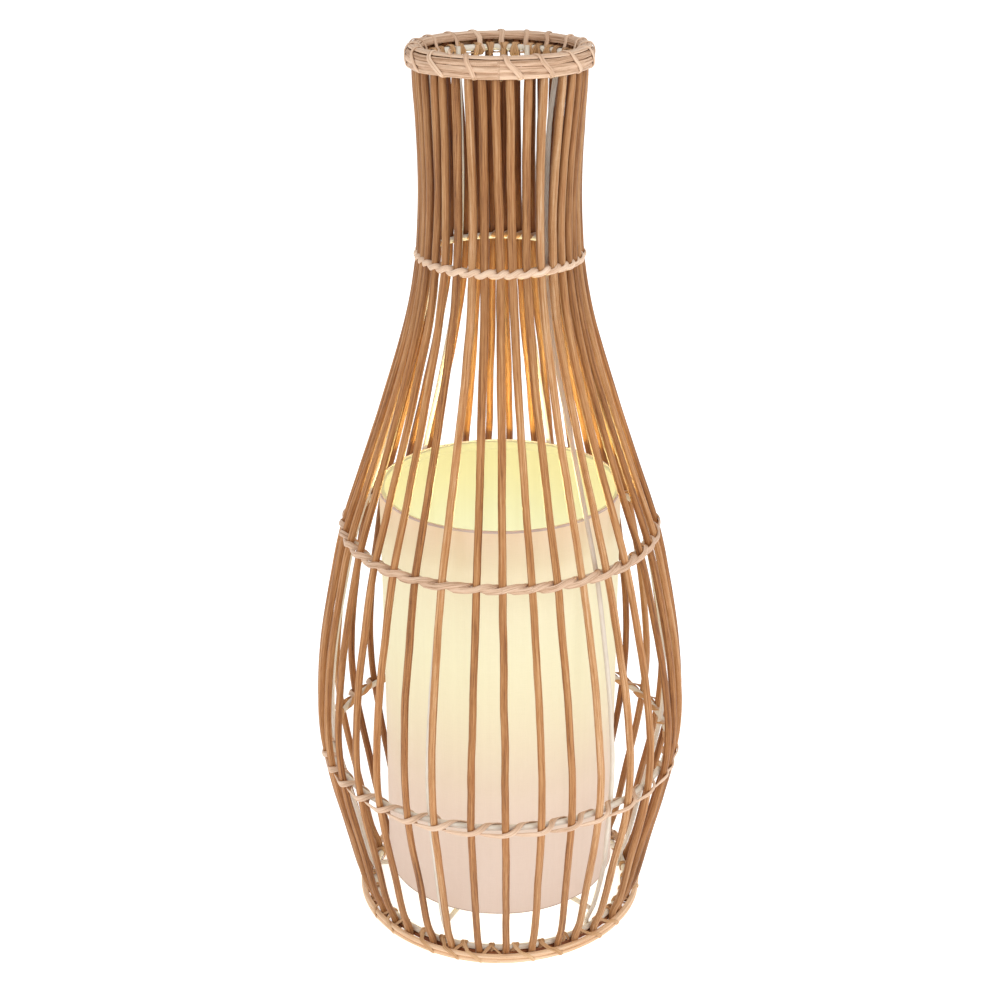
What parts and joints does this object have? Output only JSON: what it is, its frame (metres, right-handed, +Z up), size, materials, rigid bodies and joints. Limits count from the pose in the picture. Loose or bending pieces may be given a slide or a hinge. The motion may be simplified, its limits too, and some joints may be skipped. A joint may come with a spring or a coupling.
{
  "type": "rattan table lamp",
  "caption": "Bottle-shaped cage of upright rattan reeds on a wire frame, bound with split cane, round a cylindrical fabric shade and a screw-in bulb on a short stem.",
  "frame": {"origin": "centre of the base on the surface it stands on, on the lamp's vertical axis", "axes": "+Z up along the lamp's axis, +X to the right seen from the front, -Y towards the front"},
  "size_m": [0.2538, 0.2538, 0.5985],
  "materials": {
    "reed": "natural tan reed with fine long grain, satin",
    "split_cane": "pale split cane, slight sheen on the skin side",
    "hoop_cane": "half round cane, satin",
    "frame_paint": "off-white paint on steel wire",
    "shade_cloth": "fine cream cloth laminated on a stiff lining, lit from inside",
    "zinc_steel": "zinc plated",
    "bushing_plastic": "black moulded",
    "holder_plastic": "white thermoplastic",
    "holder_ceramic": "glazed white",
    "contact_brass": "plain brass",
    "bulb_insulation": "black insulating collar",
    "bulb_cap_metal": "rolled aluminium screw cap",
    "bulb_plastic": "white moulded",
    "bulb_diffuser": "opal, lit warm white"
  },
  "bodies": {
    "lamp": {"rattan_rods": "reed", "rim_hoop_lower": "split_cane", "rim_hoop_upper": "split_cane", "rim_capping": "split_cane", "rim_lashing": "split_cane", "rim_binding": "split_cane", "neck_binding": "split_cane", "shoulder_binding": "split_cane", "belly_binding": "split_cane", "base_hoop_lower": "hoop_cane", "base_hoop_upper": "hoop_cane", "base_hoop_inner": "reed", "base_lashing": "split_cane", "frame_ring_top": "frame_paint", "frame_ring_neck": "frame_paint", "frame_ring_shoulder": "frame_paint", "frame_ring_belly": "frame_paint", "frame_ring_base": "frame_paint", "frame_uprights": "frame_paint", "frame_arms": "frame_paint", "hub_plate": "frame_paint", "shade_drum": "shade_cloth", "shade_ring_top": "frame_paint", "shade_ring_bottom": "frame_paint", "shade_fitter": "frame_paint", "stem_tube": "zinc_steel", "stem_cover": "frame_paint", "stem_washer_lower": "zinc_steel", "stem_nut_lower": "zinc_steel", "stem_washer_upper": "zinc_steel", "stem_nut_upper": "zinc_steel", "cord_bushing": "bushing_plastic", "holder_cap": "holder_plastic", "holder_shell": "holder_plastic", "holder_insert": "holder_ceramic", "holder_screw_shell": "contact_brass", "holder_centre_contact": "contact_brass", "holder_side_contact": "contact_brass", "terminal_screws": "contact_brass"},
    "bulb_foot": {"bulb_contact": "zinc_steel", "bulb_insulator": "bulb_insulation"},
    "bulb": {"bulb_screw_cap": "bulb_cap_metal", "bulb_housing": "bulb_plastic", "bulb_globe": "bulb_diffuser"}
  },
  "joints": [
    {"name": "bulb_climb", "type": "slide", "parent": "lamp", "child": "bulb_foot", "axis": [0, 0, 1], "range_m": [0, 0.022]},
    {"name": "bulb_turn", "type": "hinge", "parent": "bulb_foot", "child": "bulb", "pos_m": [0, 0, 0.2], "axis": [0, 0, 1], "range_deg": [0, 2160]}
  ],
  "couplings": [
    {"joint": "bulb_climb", "follows": "bulb_turn", "m_per_rad": 0.00057757}
  ]
}
